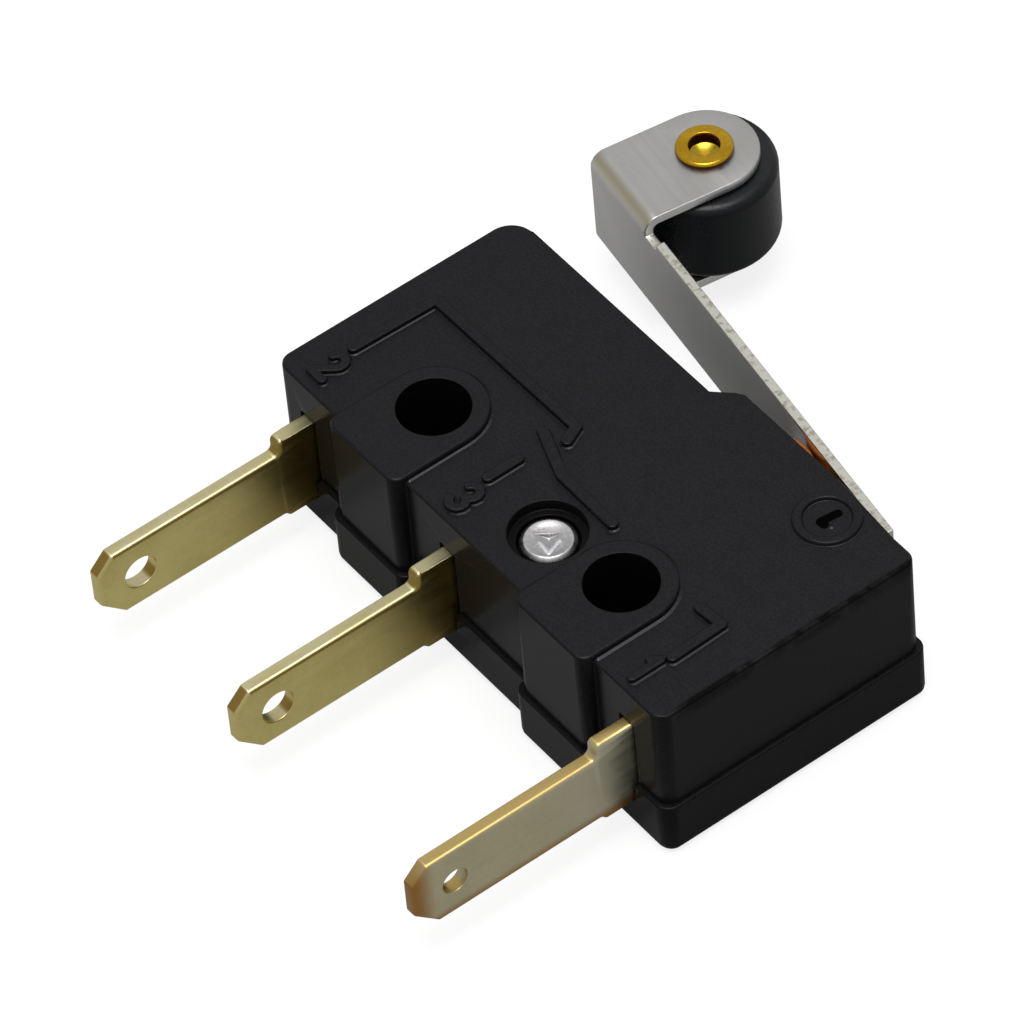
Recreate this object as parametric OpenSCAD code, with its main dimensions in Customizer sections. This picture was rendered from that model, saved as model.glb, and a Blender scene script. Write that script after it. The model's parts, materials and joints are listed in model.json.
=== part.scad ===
// Subminiature snap-action switch with a hinge roller lever and three solder tabs.
// Millimetres. The origin is midway between the mounting holes on the back face.
// +X runs to the lever hinge, +Y to the lever, +Z to the front face.

/* [Housing] */
// Length of the case between its two end faces
case_len = 19.5; // [19:0.1:21]
// Height of the front face above the back face
front_z = 6.18; // [6:0.02:6.6]
// Height of the joint between cover and case
parting_z = 2.1; // [1.8:0.05:2.15]
// Thickness of the cover behind the mechanism
floor_t = 1; // [0.7:0.05:1.1]
// Thickness of the case in front of the mechanism
roof_t = 0.88; // [0.7:0.02:0.95]
// Thickness of the side walls
wall = 0.8; // [0.6:0.05:0.9]
// How far the cover stands out past the case all round
lip = 0.15; // [0.05:0.01:0.25]
// Distance from the hole line to the terminal wall
base_drop = 2.45; // [2.3:0.05:2.6]
// Distance from the hole line to the lower top face
top_rise = 7; // [6.8:0.05:7.2]
// Step up from the lower top face to the crown
crown_step = 0.75; // [0.6:0.05:0.9]
// Fall of the crown towards the hinge end
crown_fall = 0.2; // [0.1:0.02:0.3]
// Where the ramp to the crown starts
ramp_x = 0.1; // [-0.2:0.05:0.3]
// Softening of the upper edge of the ramp
ramp_ease = 0.14; // [0.05:0.01:0.2]
// Radius of the lower corners
low_corner_r = 0.5; // [0.3:0.05:0.7]
// Radius of the upper corner at the roller end
toe_corner_r = 0.9; // [0.5:0.05:1.1]
// Radius of the upper corner at the hinge end
heel_corner_r = 0.45; // [0.3:0.05:0.6]

/* [Mounting bosses] */
// Distance between the mounting holes
hole_pitch = 9.5; // [9.3:0.1:9.7]
// Diameter of the mounting holes
hole_d = 2.4; // [2:0.05:2.5]
// Width of the bosses round the holes
boss_w = 3.56; // [3.3:0.02:3.7]
// How far each boss stands out of the terminal wall
column_out = 0.45; // [0.3:0.05:0.6]
// Radius of the upright edges of the bosses
column_r = 0.42; // [0.2:0.02:0.6]
// Height of the raised pads above the front face
pad_h = 0.22; // [0.1:0.02:0.3]

/* [Closing rivet] */
// Place of the rivet along the case
rivet_x = 1.48; // [1.3:0.02:1.7]
// Place of the rivet above the hole line
rivet_y = -0.33; // [-0.5:0.01:-0.1]
// Diameter of the rivet shank
shank_d = 1; // [0.8:0.05:1.2]
// Clearance round the shank and the hinge pin in the housing
fit_gap = 0.01; // [0.01:0.01:0.02]
// Diameter of the rivet head
rivet_head_d = 1.66; // [1.5:0.02:1.8]
// Height of the rivet head
rivet_head_h = 0.42; // [0.34:0.02:0.5]
// Diameter of the bowl in the rivet head
bowl_d = 1.36; // [1.2:0.02:1.4]
// Depth of the bowl in the rivet head
bowl_depth = 0.08; // [0.04:0.02:0.1]
// Radius of the three-sided set mark
mark_r = 0.46; // [0.4:0.02:0.5]
// Depth of the set mark below the bowl
mark_depth = 0.14; // [0.08:0.02:0.16]
// Diameter of the recess round the head
recess_d = 2.53; // [2.3:0.01:2.7]
// Depth of the outer part of the recess
recess_depth = 0.4; // [0.3:0.02:0.5]
// Diameter of the inner part of the recess
seat_d = 2.02; // [1.9:0.02:2.2]
// Depth of the inner part below the outer part
seat_depth = 0.42; // [0.3:0.02:0.5]
// Diameter of the post that carries the rivet
rivet_post_d = 3.2; // [3:0.05:3.4]

/* [Mould ring] */
// Outer diameter of the raised ring on the front face
ring_d = 2.25; // [2:0.05:2.3]
// Width of the ring at its foot
ring_w = 0.24; // [0.2:0.01:0.3]
// Height of the ring
ring_h = 0.07; // [0.05:0.01:0.12]
// Slope of the sides of the ring
ring_ease = 0.05; // [0.02:0.01:0.07]
// Distance of the ring from the hinge end of the case
ring_inset_x = 3.08; // [2.9:0.02:3.3]
// Height of the ring above the hole line
ring_y = 6.47; // [6:0.01:6.5]

/* [Terminals] */
// Thickness of the terminal strip
strip_t = 0.5; // [0.4:0.02:0.55]
// Width of the terminal tabs
tab_w = 2.75; // [2.6:0.05:2.8]
// Height of the middle of the tabs above the back face
tab_z = 2.72; // [2.7:0.01:2.76]
// Length of the tabs outside the wall
tab_len = 8.4; // [7.5:0.05:9.5]
// Length of the upper cut corner along the tab
tip_cut_len = 0.6; // [0.5:0.05:0.9]
// Width of the upper cut corner across the tab
tip_cut_w = 0.58; // [0.5:0.02:0.8]
// Length of the lower cut corner along the tab
low_cut_len = 0.85; // [0.6:0.05:1.1]
// Width of the lower cut corner across the tab
low_cut_w = 0.84; // [0.6:0.02:0.9]
// Diameter of the wire eye
eye_d = 1.2; // [1:0.05:1.4]
// Distance from the tab end to the wire eye
eye_inset = 1.55; // [1.4:0.05:2]
// Length of the wider root outside the wall
root_len = 1.35; // [1:0.05:1.8]
// Step from the tab edge up to the root
root_step = 0.57; // [0.5:0.01:0.6]
// Step from the other tab edge down to the root
root_drop = 0.1; // [0.05:0.01:0.15]
// Radius of both bends in the upper step
root_r = 0.2; // [0.1:0.02:0.2]
// Distance from the case end to the normally closed terminal
nc_inset = 1.5; // [1.4:0.02:1.6]
// Place of the normally open terminal along the case
no_x = -1.02; // [-1.3:0.02:-0.9]
// Distance from the case end to the common terminal
com_inset = 1.75; // [1.6:0.02:1.8]
// Clearance between a terminal and its slot
slot_gap = 0.02; // [0.01:0.01:0.04]
// Clearance round a terminal at the mouth of its slot
mouth_gap = 0.1; // [0.06:0.01:0.14]
// Depth of the mouth below the wall
mouth_depth = 0.3; // [0.2:0.02:0.4]

/* [Contacts] */
// Height of the moving blade above the hole line
blade_y = 4; // [3.9:0.02:4.1]
// Thickness of the moving blade
blade_t = 0.2; // [0.12:0.02:0.24]
// Width of the moving blade
blade_w = 3.2; // [3:0.05:3.3]
// Width of the window in the moving blade
window_w = 2; // [1.9:0.05:2.1]
// Distance from the common terminal to the contacts
contact_reach = 11.9; // [11.6:0.1:12.2]
// Diameter of the contact buttons
button_d = 1.3; // [1:0.05:1.5]
// Height of each side of the moving button
button_h = 0.37; // [0.3:0.01:0.4]
// Height of the fixed buttons above their arms
fixed_button_h = 0.3; // [0.2:0.02:0.34]
// Opening between moving and normally open button
contact_gap = 0.45; // [0.35:0.02:0.5]
// Clearance of touching contact pieces at rest
touch_gap = 0.03; // [0.02:0.01:0.05]
// Width of the fixed contact arms
arm_w = 2.3; // [2:0.05:2.5]
// Distance from the button middle to the end of an arm
arm_over = 0.9; // [0.8:0.05:1.1]

/* [Snap spring] */
// Thickness of the bowed spring
spring_t = 0.15; // [0.1:0.01:0.2]
// Width of the bowed spring
spring_w = 1.2; // [1:0.05:1.3]
// Rise of the bow above its chord
bow_rise = 1.25; // [1.1:0.02:1.35]
// Height of the spring seat above the hole line
seat_y = 3; // [2.9:0.02:3.1]
// Reach of the anchor arm from the common terminal
anchor_reach = 1.75; // [1.6:0.05:1.9]

/* [Plunger] */
// Place of the plunger along the case
plunger_x = 2.6; // [2.4:0.02:2.7]
// Width of the plunger along the case
stem_w = 1.8; // [1.5:0.05:1.9]
// Depth of the plunger through the case
stem_d = 2.5; // [2.2:0.05:2.6]
// Radius of the rounded plunger end
stem_end_r = 1.5; // [1.2:0.05:2.5]
// Clearance of the plunger in its guide
guide_gap = 0.05; // [0.03:0.01:0.08]
// Width of the collar that keeps the plunger in
collar_w = 2.7; // [2.5:0.05:2.8]
// Depth of the collar through the case
collar_d = 3; // [2.8:0.05:3.2]
// Length of the collar
collar_h = 0.7; // [0.5:0.05:0.8]
// Side of the square foot
foot_w = 1.4; // [1.2:0.05:1.5]

/* [Lever] */
// Distance from the case end to the hinge pin
pivot_inset = 2.25; // [2.2:0.05:2.4]
// Height of the hinge pin above the hole line
pivot_y = 7.1; // [7.05:0.01:7.2]
// Diameter of the hinge pin
pin_d = 0.9; // [0.8:0.02:1]
// Running clearance on the pins
pin_gap = 0.03; // [0.02:0.01:0.06]
// Rise of the free lever in degrees
lever_rest = 8.6; // [8.2:0.1:9]
// Distance from the hinge pin to the underside of the lever
web_v = 0.98; // [0.95:0.01:1.05]
// Thickness of the lever sheet
sheet_t = 0.33; // [0.28:0.01:0.36]
// Width of the lever arm
lever_w = 3.3; // [3:0.05:3.5]
// Width of the narrow part of the arm beside the fork
relief_w = 2.8; // [2.6:0.05:2.9]
// Length of the narrow part of the arm
relief_len = 0.7; // [0.4:0.05:1]
// Height of the middle of the lever above the back face
mid_z = 3.2; // [3.15:0.01:3.25]
// Radius of the hinge ears
ear_r = 0.75; // [0.65:0.01:0.8]
// Distance between the outer faces of the ears
ear_span = 2; // [1.8:0.02:2.05]
// Clearance round the ears in their pocket
ear_gap = 0.1; // [0.06:0.01:0.12]
// Distance from the hinge pin to the roller pin along the lever
roller_reach = 17.15; // [15:0.05:19]
// Distance between the outer faces of the roller tabs
fork_w = 4.1; // [3.9:0.02:4.2]
// Radius of the round tab ends
tab_end_r = 1.78; // [1.7:0.02:1.9]
// Outer radius of the folds
fold_r = 0.54; // [0.4:0.02:0.6]

/* [Roller] */
// Diameter of the roller
roller_d = 4.7; // [4.4:0.05:4.9]
// Clearance between roller and sheet
roller_gap = 0.12; // [0.08:0.01:0.2]
// Chamfer on the rims of the roller
rim_cut = 0.22; // [0.1:0.02:0.4]
// Clearance between roller and lever web
tread_gap = 0.55; // [0.4:0.01:0.8]
// Diameter of the roller pin
axle_d = 1.3; // [1.1:0.05:1.4]
// Diameter of the pin heads
axle_head_d = 1.9; // [1.7:0.02:2]
// Height of the pin heads
axle_head_h = 0.24; // [0.15:0.01:0.3]
// Diameter of the hollow in the pin
hollow_d = 1.04; // [0.84:0.02:1.06]
// Depth of the hollow in the pin
hollow_depth = 0.45; // [0.4:0.05:0.8]
// Radius of the three-sided punch mark in the hollow
punch_r = 0.4; // [0.3:0.02:0.4]
// Depth of the punch mark
punch_depth = 0.15; // [0.1:0.01:0.2]

/* [Hidden] */
eps = 0.5;
round_fn = 64;
mark_turn = -36;
punch_turn = -29;
half_len = case_len / 2;
crown_y = top_rise + crown_step;
heel_y = crown_y - crown_fall;
heel_run = 1.15;
fall_run = 2.4;
roof_z = front_z - roof_t;
pad_z = front_z + pad_h;
hole_x = hole_pitch / 2;
inner_x = half_len - wall;
inner_low = wall - base_drop;
inner_top = top_rise - wall;
bay_top = crown_y - wall;
nc_x = nc_inset - half_len;
com_x = half_len - com_inset;
root_lo = tab_z - tab_w / 2 - root_drop;
root_hi = tab_z + tab_w / 2 + root_step;
mouth_lo = parting_z - 0.4;
contact_x = com_x - contact_reach;
pivot_r = strip_t / 2;
rock_y = blade_y - touch_gap - pivot_r;
button_top = blade_y + blade_t + button_h;
button_low = blade_y - button_h;
nc_face = button_top + touch_gap;
nc_arm_y = nc_face + fixed_button_h;
no_face = button_low - contact_gap;
no_arm_y = no_face - fixed_button_h - strip_t;
post_neck_w = 1.2;
post_tip_y = blade_y + blade_t + 0.4;
hook_gap = 0.1;
hook_end = 0.45;
window_near = com_x - 1.4;
window_far = contact_x + button_d / 2 + 0.85;
anchor_x = com_x - strip_t / 2 - strip_t;
anchor_end = com_x - strip_t / 2 - anchor_reach;
anchor_low = inner_low + 0.2;
anchor_rivet_y = 1.2;
pivot_x = half_len - pivot_inset;
web_y = pivot_y + web_v / cos(lever_rest) + (pivot_x - plunger_x) * tan(lever_rest);
stem_centre_y = web_y - (stem_end_r + touch_gap) / cos(lever_rest);
collar_top = bay_top - touch_gap;
bay_w = collar_w + 4 * guide_gap;
bow_start = [anchor_end - touch_gap, seat_y];
bow_end = [window_far + hook_gap, blade_y + blade_t / 2];
bow_chord = norm(bow_end - bow_start);
bow_turn = atan2(bow_end[1] - bow_start[1], bow_end[0] - bow_start[0]);
bow_r = (bow_chord * bow_chord / 4 + bow_rise * bow_rise) / (2 * bow_rise);
bow_drop = bow_r - bow_rise;
bow_mid_x = bow_start[0] + cos(bow_turn) * bow_chord / 2 - sin(bow_turn) * bow_drop;
bow_mid_y = bow_start[1] + sin(bow_turn) * bow_chord / 2 + cos(bow_turn) * bow_drop;
bow_out_r = bow_r + spring_t / 2;
foot_off = max(0, plunger_x - foot_w / 2 - bow_mid_x);
foot_y = bow_mid_y + sqrt(bow_out_r * bow_out_r - foot_off * foot_off) + touch_gap;
roller_v = web_v + sheet_t + tread_gap + roller_d / 2;
roller_w = fork_w - 2 * sheet_t - 2 * roller_gap;
ear_w = 0.3;
fold_in_r = fold_r - sheet_t;

// Waste left outside a rounded corner; sx and sy point out of the body.
module corner_waste(x, y, r, sx, sy) {
  translate([x - sx * r, y - sy * r])
    mirror([sx < 0 ? 1 : 0, 0, 0])
      mirror([0, sy < 0 ? 1 : 0, 0])
        difference() {
          square([r + eps, r + eps]);
          circle(r = r, $fn = round_fn);
        }
}

// Outline of one mounting boss where it stands out of the terminal wall.
module column_outline(g) {
  low = -base_drop - column_out - g;
  half = boss_w / 2 + g;
  difference() {
    translate([-half, low]) square([2 * half, -low]);
    corner_waste(half, low, column_r, 1, -1);
    corner_waste(-half, low, column_r, -1, -1);
  }
}

// Side outline of the housing, grown by g for the cover.
module housing_outline(g) {
  x = half_len + g;
  low = -base_drop - g;
  heel = heel_y + g;
  toe = top_rise + g;
  crown = crown_y + g;
  difference() {
    polygon([[-x, low], [x, low], [x, heel], [half_len - heel_run, heel],
      [half_len - heel_run - fall_run, crown],
      [ramp_x + crown_step + ramp_ease - g / 2, crown],
      [ramp_x + crown_step - ramp_ease - g / 2, crown - ramp_ease],
      [ramp_x - g / 2, toe], [-x, toe]]);
    corner_waste(x, low, low_corner_r, 1, -1);
    corner_waste(-x, low, low_corner_r, -1, -1);
    corner_waste(x, heel, heel_corner_r, 1, 1);
    corner_waste(-x, toe, toe_corner_r, -1, 1);
  }
  for (side = [-1, 1]) translate([side * hole_x, 0]) column_outline(g);
}

// Raised pad on the front face round one mounting hole.
module pad_outline() {
  column_outline(0);
  circle(r = boss_w / 2, $fn = round_fn);
}

// Hollow for the mechanism, clear of the bosses and the rivet post.
module cavity_outline() {
  difference() {
    union() {
      translate([-inner_x, inner_low]) square([2 * inner_x, inner_top - inner_low]);
      translate([plunger_x - bay_w / 2, 0]) square([bay_w, bay_top]);
    }
    for (side = [-1, 1]) translate([side * hole_x, 0]) pad_outline();
    translate([rivet_x, rivet_y]) circle(r = rivet_post_d / 2, $fn = round_fn);
  }
}

module mounting_bores() {
  for (side = [-1, 1])
    translate([side * hole_x, 0, -eps]) cylinder(d = hole_d, h = pad_z + 2 * eps, $fn = round_fn);
}

// Slots for the terminals, each with a wider mouth.
module terminal_slots() {
  for (x = [nc_x, no_x, com_x]) {
    translate([x - strip_t / 2 - slot_gap, -base_drop - lip - eps, root_lo - slot_gap])
      cube([strip_t + 2 * slot_gap, wall + lip + 2 * eps, root_hi - root_lo + 2 * slot_gap]);
    translate([x - strip_t / 2 - mouth_gap, -base_drop - lip - eps, mouth_lo])
      cube([strip_t + 2 * mouth_gap, mouth_depth + lip + eps, root_hi + mouth_gap - mouth_lo]);
  }
}

module hinge_bore(low, high) {
  translate([pivot_x, pivot_y, low])
    cylinder(d = pin_d + 2 * fit_gap, h = high - low, $fn = round_fn);
}

module plunger_guide() {
  w = stem_w + 2 * guide_gap;
  d = stem_d + 2 * guide_gap;
  translate([plunger_x - w / 2, bay_top - eps, mid_z - d / 2]) cube([w, wall + 2 * eps, d]);
}

module ear_pocket() {
  half = ear_span / 2 + ear_gap;
  reach = ear_r + ear_gap * 3;
  translate([pivot_x - reach, inner_top - eps, mid_z - half])
    cube([2 * reach, crown_y - inner_top + 2 * eps, 2 * half]);
}

module rivet_recess() {
  translate([rivet_x, rivet_y, front_z - recess_depth])
    cylinder(d = recess_d, h = recess_depth + eps, $fn = round_fn);
  translate([rivet_x, rivet_y, front_z - recess_depth - seat_depth])
    cylinder(d = seat_d, h = recess_depth + seat_depth, $fn = round_fn);
  translate([rivet_x, rivet_y, 0])
    cylinder(d = shank_d + 2 * fit_gap, h = front_z, $fn = round_fn);
}

// Raised ring with sloped sides, sunk a little into the front face.
module mould_ring() {
  out = ring_d / 2;
  in = out - ring_w;
  translate([half_len - ring_inset_x, ring_y, front_z])
    rotate_extrude($fn = round_fn)
      polygon([[in, -ring_h], [out, -ring_h], [out, 0], [out - ring_ease, ring_h],
        [in + ring_ease, ring_h], [in, 0]]);
}

module case() {
  color("#2b2b2d")
    difference() {
      union() {
        translate([0, 0, parting_z]) linear_extrude(front_z - parting_z) housing_outline(0);
        for (side = [-1, 1])
          translate([side * hole_x, 0, front_z - pad_h]) linear_extrude(2 * pad_h) pad_outline();
        mould_ring();
      }
      translate([0, 0, parting_z - eps]) linear_extrude(roof_z - parting_z + eps) cavity_outline();
      plunger_guide();
      mounting_bores();
      terminal_slots();
      ear_pocket();
      hinge_bore(parting_z - eps, mid_z + ear_span / 2 + pin_d);
      rivet_recess();
    }
}

module cover() {
  color("#262628")
    difference() {
      linear_extrude(parting_z) housing_outline(lip);
      translate([0, 0, floor_t]) linear_extrude(parting_z - floor_t + eps) cavity_outline();
      mounting_bores();
      terminal_slots();
      plunger_guide();
      ear_pocket();
      hinge_bore(floor_t, parting_z + eps);
      translate([rivet_x, rivet_y, -eps])
        cylinder(d = shank_d + 2 * fit_gap, h = front_z, $fn = round_fn);
      translate([rivet_x, rivet_y, -eps])
        cylinder(d = seat_d, h = rivet_head_h + eps, $fn = round_fn);
    }
}

// Rivet that closes the housing; its front head has a bowl and a three-sided set mark.
module closing_rivet() {
  seat = front_z - recess_depth - seat_depth;
  rim = rivet_head_d / 2;
  color("silver")
    translate([rivet_x, rivet_y, 0])
      difference() {
        union() {
          cylinder(d = shank_d, h = seat + mark_depth / 2, $fn = round_fn);
          translate([0, 0, seat])
            rotate_extrude($fn = round_fn)
              polygon([[0, 0], [rim, 0], [rim, rivet_head_h * 0.7], [rim - 0.12, rivet_head_h],
                [bowl_d / 2, rivet_head_h], [mark_r, rivet_head_h - bowl_depth],
                [0, rivet_head_h - bowl_depth]]);
          cylinder(d = rivet_head_d, h = rivet_head_h, $fn = round_fn);
        }
        translate([0, 0, seat + rivet_head_h - bowl_depth - mark_depth])
          rotate([0, 0, mark_turn]) cylinder(r = mark_r, h = rivet_head_h, $fn = 3);
      }
}

// Flat outline of a solder tab; x runs out of the wall and y across the strip.
module tab_outline(inner) {
  half = tab_w / 2;
  root = half + root_step;
  difference() {
    union() {
      polygon([[-inner, -half - root_drop], [root_len - root_drop, -half - root_drop],
        [root_len, -half], [tab_len - low_cut_len, -half], [tab_len, low_cut_w - half],
        [tab_len, half - tip_cut_w], [tab_len - tip_cut_len, half], [root_len, half],
        [root_len, root], [-inner, root]]);
      corner_fill(root_len, half, root_r);
    }
    corner_waste(root_len, root, root_r, 1, 1);
    translate([tab_len - eye_inset, 0]) circle(d = eye_d, $fn = round_fn);
  }
}

// Fillet for the inner corner at x, y that opens to +x and +y.
module corner_fill(x, y, r) {
  difference() {
    translate([x - r / 2, y - r / 2]) square([1.5 * r, 1.5 * r]);
    translate([x + r, y + r]) circle(r = r, $fn = round_fn);
  }
}

// Solder tab with its shank through the wall, standing in the plane x.
module solder_tab(x) {
  translate([x + strip_t / 2, -base_drop, tab_z])
    rotate([0, -90, 0])
      linear_extrude(strip_t)
        rotate([0, 0, -90]) tab_outline(wall + strip_t);
}

module terminal_common() {
  neck = post_neck_w / 2;
  color("#b59a4a") {
    solder_tab(com_x);
    translate([com_x - strip_t / 2, inner_low + touch_gap, mid_z - blade_w / 2])
      cube([strip_t, rock_y - inner_low - touch_gap, blade_w]);
    translate([com_x, rock_y, mid_z - blade_w / 2])
      cylinder(r = pivot_r, h = blade_w, $fn = round_fn);
    translate([com_x - strip_t / 2, 0, mid_z - neck])
      cube([strip_t, post_tip_y, 2 * neck]);
  }
}

module terminal_closed() {
  top = nc_arm_y + strip_t;
  color("#b59a4a") {
    solder_tab(nc_x);
    translate([nc_x - strip_t / 2, -base_drop + wall / 2, mid_z - arm_w / 2])
      cube([strip_t, top + base_drop - wall / 2, arm_w]);
    translate([nc_x - strip_t / 2, nc_arm_y, mid_z - arm_w / 2])
      cube([contact_x + arm_over - nc_x + strip_t / 2, strip_t, arm_w]);
  }
}

module terminal_open() {
  left = contact_x - arm_over;
  color("#b59a4a") {
    solder_tab(no_x);
    translate([no_x - strip_t / 2, -base_drop + wall / 2, mid_z - arm_w / 2])
      cube([strip_t, no_arm_y + strip_t + base_drop - wall / 2, arm_w]);
    translate([left, no_arm_y, mid_z - arm_w / 2])
      cube([no_x + strip_t / 2 - left, strip_t, arm_w]);
  }
}

// Bracket on the common post that seats the snap spring.
module blade_anchor() {
  color("#a88c46")
    difference() {
      union() {
        translate([anchor_x, anchor_low, mid_z - arm_w / 2])
          cube([strip_t, seat_y + strip_t / 2 - anchor_low, arm_w]);
        translate([anchor_end, seat_y - strip_t / 2, mid_z - arm_w / 2])
          cube([anchor_reach, strip_t, arm_w]);
      }
      translate([anchor_x - eps, anchor_rivet_y, mid_z])
        rotate([0, 90, 0]) cylinder(d = shank_d, h = 2 * eps + strip_t, $fn = round_fn);
    }
}

module anchor_rivet() {
  color("#c9a94e")
    translate([anchor_x, anchor_rivet_y, mid_z])
      rotate([0, 90, 0]) {
        cylinder(d = shank_d, h = strip_t, $fn = round_fn);
        translate([0, 0, -rivet_head_h / 2])
          cylinder(d = rivet_head_d, h = rivet_head_h / 2, $fn = round_fn);
      }
}

module button(height) {
  rotate([-90, 0, 0])
    rotate_extrude($fn = round_fn)
      polygon([[0, 0], [button_d / 2, 0], [button_d / 2, height * 0.6],
        [button_d / 2 - 0.15, height], [0, height]]);
}

module contact_closed() {
  color("#d8d8d4") translate([contact_x, nc_arm_y, mid_z]) mirror([0, 1, 0]) button(fixed_button_h);
}

module contact_open() {
  color("#d8d8d4") translate([contact_x, no_arm_y + strip_t, mid_z]) button(fixed_button_h);
}

module moving_contact() {
  color("#dcdcd8")
    translate([contact_x, 0, mid_z]) {
      translate([0, blade_y + blade_t, 0]) button(button_h);
      translate([0, blade_y, 0]) mirror([0, 1, 0]) button(button_h);
      translate([0, blade_y, 0])
        rotate([-90, 0, 0]) cylinder(d = button_d / 2, h = blade_t, $fn = round_fn);
    }
}

// Spring blade: two side strips, a window for the bow and a slot that hooks on the post.
module moving_blade() {
  near = com_x + strip_t / 2 + hook_end;
  far = contact_x - arm_over;
  color("#b8862f")
    translate([0, blade_y, mid_z])
      rotate([-90, 0, 0])
        linear_extrude(blade_t)
          difference() {
            translate([far, -blade_w / 2]) square([near - far, blade_w]);
            translate([window_far, -window_w / 2]) square([window_near - window_far, window_w]);
            translate([com_x - strip_t / 2 - hook_gap, -post_neck_w / 2 - hook_gap])
              square([strip_t + 2 * hook_gap, post_neck_w + 2 * hook_gap]);
            translate([contact_x, 0]) circle(d = button_d / 2, $fn = round_fn);
          }
}

// Bowed strip between the anchor and the far side of the window.
module snap_spring() {
  color("#c08a32")
    translate([bow_start[0], bow_start[1], mid_z - spring_w / 2])
      linear_extrude(spring_w)
        rotate([0, 0, bow_turn])
          mirror([0, 1, 0])
            intersection() {
              translate([bow_chord / 2, bow_rise - bow_r])
                difference() {
                  circle(r = bow_r + spring_t / 2, $fn = 4 * round_fn);
                  circle(r = bow_r - spring_t / 2, $fn = 4 * round_fn);
                }
              square([bow_chord, 2 * bow_rise]);
            }
}

module plunger() {
  low = collar_top - collar_h;
  color("#b5651d") {
    translate([plunger_x, 0, mid_z - stem_d / 2])
      linear_extrude(stem_d)
        intersection() {
          translate([-stem_w / 2, low]) square([stem_w, crown_y + stem_end_r - low]);
          translate([0, stem_centre_y - stem_end_r]) difference() {
            translate([-stem_w, -crown_y]) square([2 * stem_w, crown_y + 2 * stem_end_r]);
            translate([0, stem_end_r]) stem_end_waste();
          }
        }
    translate([plunger_x - collar_w / 2, low, mid_z - collar_d / 2])
      cube([collar_w, collar_h, collar_d]);
    translate([plunger_x - foot_w / 2, foot_y, mid_z - foot_w / 2])
      cube([foot_w, collar_top - foot_y - collar_h / 2, foot_w]);
  }
}

// Waste above the rounded end of the plunger.
module stem_end_waste() {
  difference() {
    translate([-stem_w, 0]) square([2 * stem_w, 2 * stem_end_r]);
    circle(r = stem_end_r, $fn = 2 * round_fn);
  }
}

module hinge_pin() {
  low = floor_t + touch_gap;
  high = mid_z + ear_span / 2 + pin_d - touch_gap;
  color("#b9bcbe")
    translate([pivot_x, pivot_y, low]) cylinder(d = pin_d, h = high - low, $fn = round_fn);
}

// Places children in the frame of the free lever: x towards the hinge, y off the sheet.
module on_lever() {
  translate([pivot_x, pivot_y, mid_z]) rotate([0, 0, -lever_rest]) children();
}

// Section of the fork: a web with two folded tabs.
module fork_section() {
  height = roller_v + tab_end_r - web_v + eps;
  difference() {
    translate([-fork_w / 2, web_v]) square([fork_w, height]);
    corner_waste(fork_w / 2, web_v, fold_r, 1, -1);
    corner_waste(-fork_w / 2, web_v, fold_r, -1, -1);
    difference() {
      translate([sheet_t - fork_w / 2, web_v + sheet_t]) square([fork_w - 2 * sheet_t, height]);
      corner_waste(fork_w / 2 - sheet_t, web_v + sheet_t, fold_in_r, 1, -1);
      corner_waste(sheet_t - fork_w / 2, web_v + sheet_t, fold_in_r, -1, -1);
    }
  }
}

module fork() {
  far = roller_reach + tab_end_r;
  intersection() {
    translate([-roller_reach + tab_end_r, 0, 0])
      rotate([0, -90, 0]) linear_extrude(2 * tab_end_r) fork_section();
    translate([-roller_reach, 0, -fork_w])
      linear_extrude(2 * fork_w) {
        translate([-tab_end_r, 0]) square([2 * tab_end_r, roller_v]);
        translate([0, roller_v]) circle(r = tab_end_r, $fn = round_fn);
      }
  }
}

module hinge_ears() {
  for (side = [-1, 1])
    translate([0, 0, side * (ear_span - ear_w) / 2 - ear_w / 2])
      linear_extrude(ear_w) {
        circle(r = ear_r, $fn = round_fn);
        translate([-ear_r, 0]) square([1.4 * ear_r, web_v + sheet_t / 2]);
      }
}

module lever() {
  fork_end = -roller_reach + tab_end_r;
  arm_start = fork_end + relief_len;
  color("#a9abab")
    on_lever()
      difference() {
        union() {
          fork();
          translate([fork_end - eps, web_v, -relief_w / 2])
            cube([relief_len + 2 * eps, sheet_t, relief_w]);
          translate([arm_start, web_v, -lever_w / 2])
            cube([-arm_start - ear_w, sheet_t, lever_w]);
          translate([-ear_r - ear_w, web_v, -ear_span / 2])
            cube([1.4 * ear_r + ear_w, sheet_t, ear_span]);
          hinge_ears();
        }
        translate([0, 0, -ear_span]) cylinder(d = pin_d + 2 * pin_gap, h = 2 * ear_span, $fn = round_fn);
        translate([-roller_reach, roller_v, -fork_w])
          cylinder(d = axle_d, h = 2 * fork_w, $fn = round_fn);
      }
}

// Hollow pin riveted through the fork; a three-sided punch mark closes the hollow.
module roller_pin() {
  half = fork_w / 2;
  rim = axle_head_d / 2;
  color("#c79a2e")
    on_lever()
      translate([-roller_reach, roller_v, 0])
        difference() {
          union() {
            translate([0, 0, -half]) cylinder(d = axle_d, h = 2 * half, $fn = round_fn);
            for (side = [0, 1])
              mirror([0, 0, side])
                translate([0, 0, half])
                  rotate_extrude($fn = round_fn)
                    polygon([[0, 0], [rim, 0], [rim, axle_head_h - 0.08], [rim - 0.08, axle_head_h],
                      [0, axle_head_h]]);
          }
          for (side = [0, 1])
            mirror([0, 0, side])
              translate([0, 0, half + axle_head_h - hollow_depth]) {
                cylinder(d = hollow_d, h = hollow_depth + eps, $fn = round_fn);
                translate([0, 0, -punch_depth])
                  rotate([0, 0, punch_turn]) cylinder(r = punch_r, h = hollow_depth, $fn = 3);
              }
        }
}

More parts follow.
